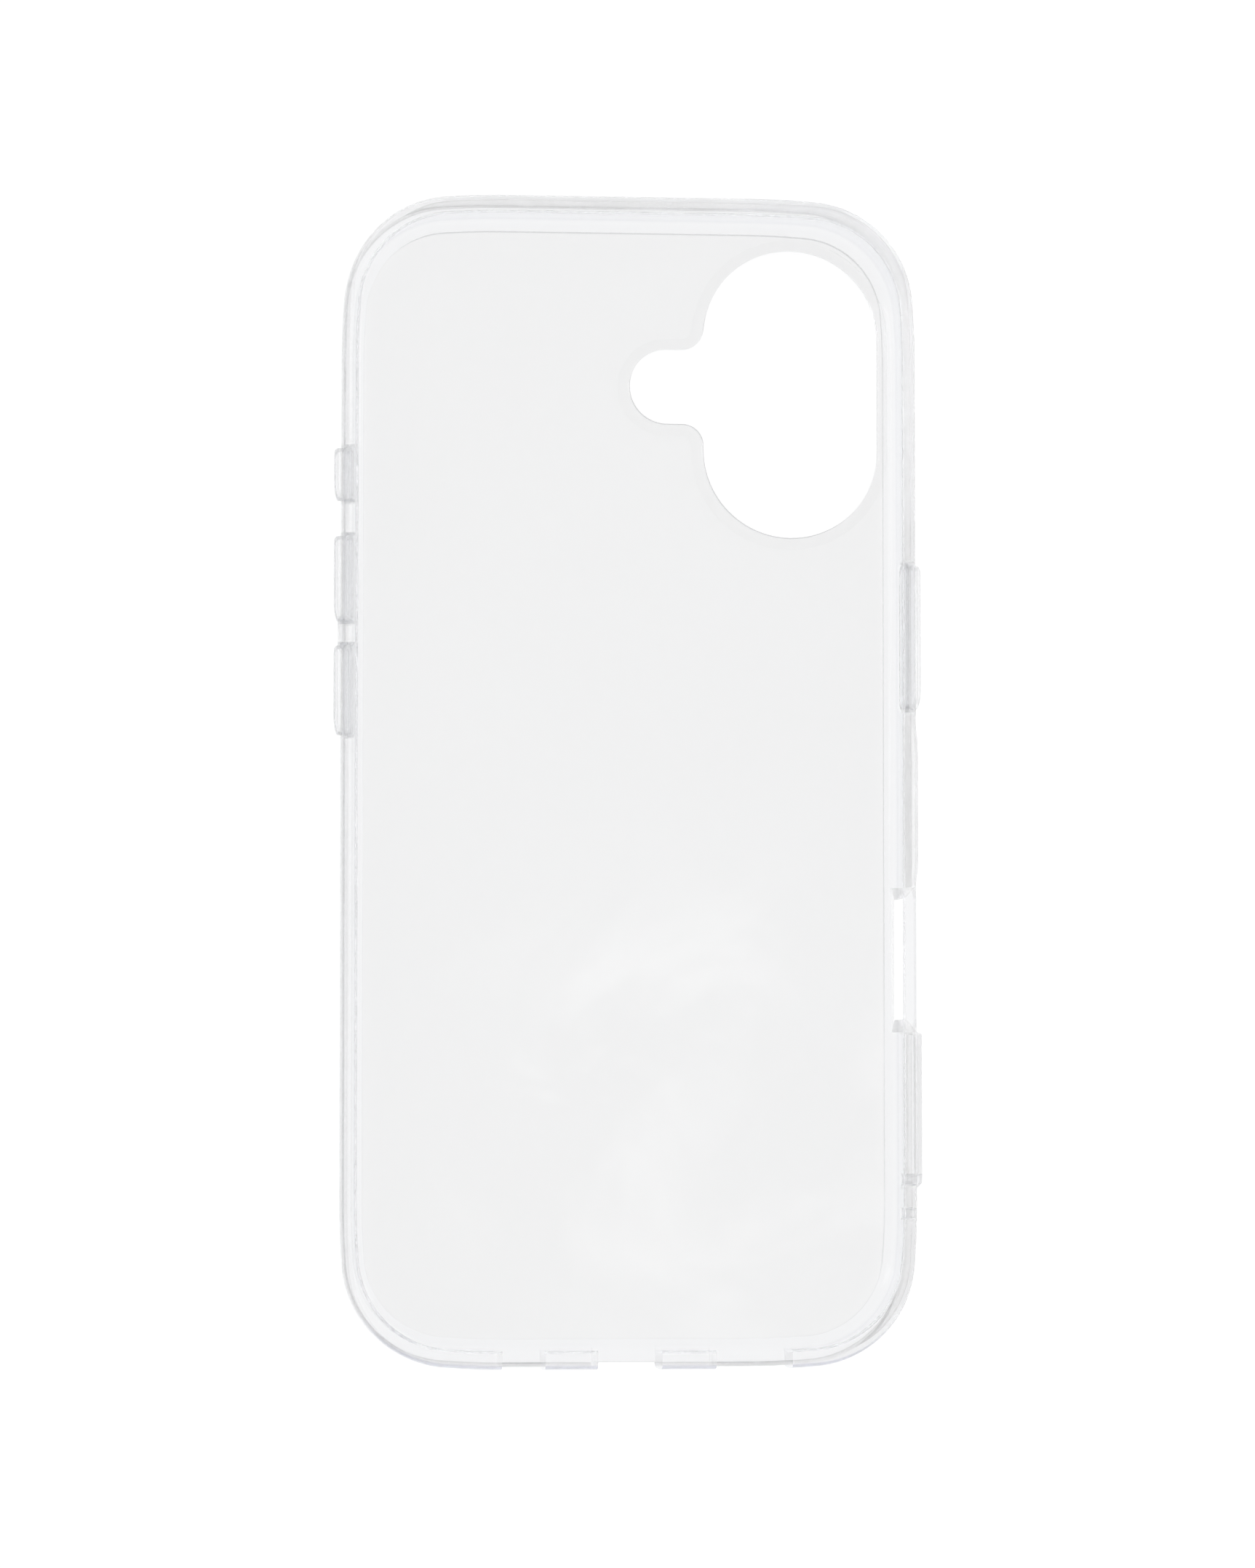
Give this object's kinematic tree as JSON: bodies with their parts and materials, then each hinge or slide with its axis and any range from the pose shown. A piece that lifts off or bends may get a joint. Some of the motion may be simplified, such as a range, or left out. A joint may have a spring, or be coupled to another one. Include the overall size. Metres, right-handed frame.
{
  "type": "phone case",
  "caption": "Clear phone case: a hard back panel in a soft bumper frame, with a raised camera guard, sprung button covers and port cut-outs.",
  "frame": {"origin": "centre of the whole case's footprint, on the surface it lies on: the camera guard's lowest face, 0.7 mm below the back face", "axes": "the case lies on its back: +Z out of the open front, +Y to the camera end, +X to the power button's side"},
  "size_m": [0.0764, 0.1518, 0.0111],
  "materials": {
    "clear_panel": "hard clear polycarbonate, polished",
    "clear_bumper": "soft clear polyurethane, glossy with a faint blue cast",
    "clear_button": "soft clear polyurethane, glossy",
    "clear_web": "thin soft clear polyurethane skin"
  },
  "bodies": {
    "case": {"back_panel": "clear_panel", "bumper_frame": "clear_bumper", "camera_guard": "clear_bumper", "action_web": "clear_web", "volume_up_web": "clear_web", "volume_down_web": "clear_web", "power_web": "clear_web"},
    "action": {"action_button": "clear_button"},
    "volume_up": {"volume_up_button": "clear_button"},
    "volume_down": {"volume_down_button": "clear_button"},
    "power": {"power_button": "clear_button"}
  },
  "joints": [
    {"name": "action_press", "type": "slide", "parent": "case", "child": "action", "axis": [1, 0, 0], "range_m": [0, 0.0004], "stiffness_N_per_m": 1200, "deforming": ["action_web"]},
    {"name": "volume_up_press", "type": "slide", "parent": "case", "child": "volume_up", "axis": [1, 0, 0], "range_m": [0, 0.0004], "stiffness_N_per_m": 1200, "deforming": ["volume_up_web"]},
    {"name": "volume_down_press", "type": "slide", "parent": "case", "child": "volume_down", "axis": [1, 0, 0], "range_m": [0, 0.0004], "stiffness_N_per_m": 1200, "deforming": ["volume_down_web"]},
    {"name": "power_press", "type": "slide", "parent": "case", "child": "power", "axis": [-1, 0, 0], "range_m": [0, 0.0004], "stiffness_N_per_m": 1200, "deforming": ["power_web"]}
  ]
}
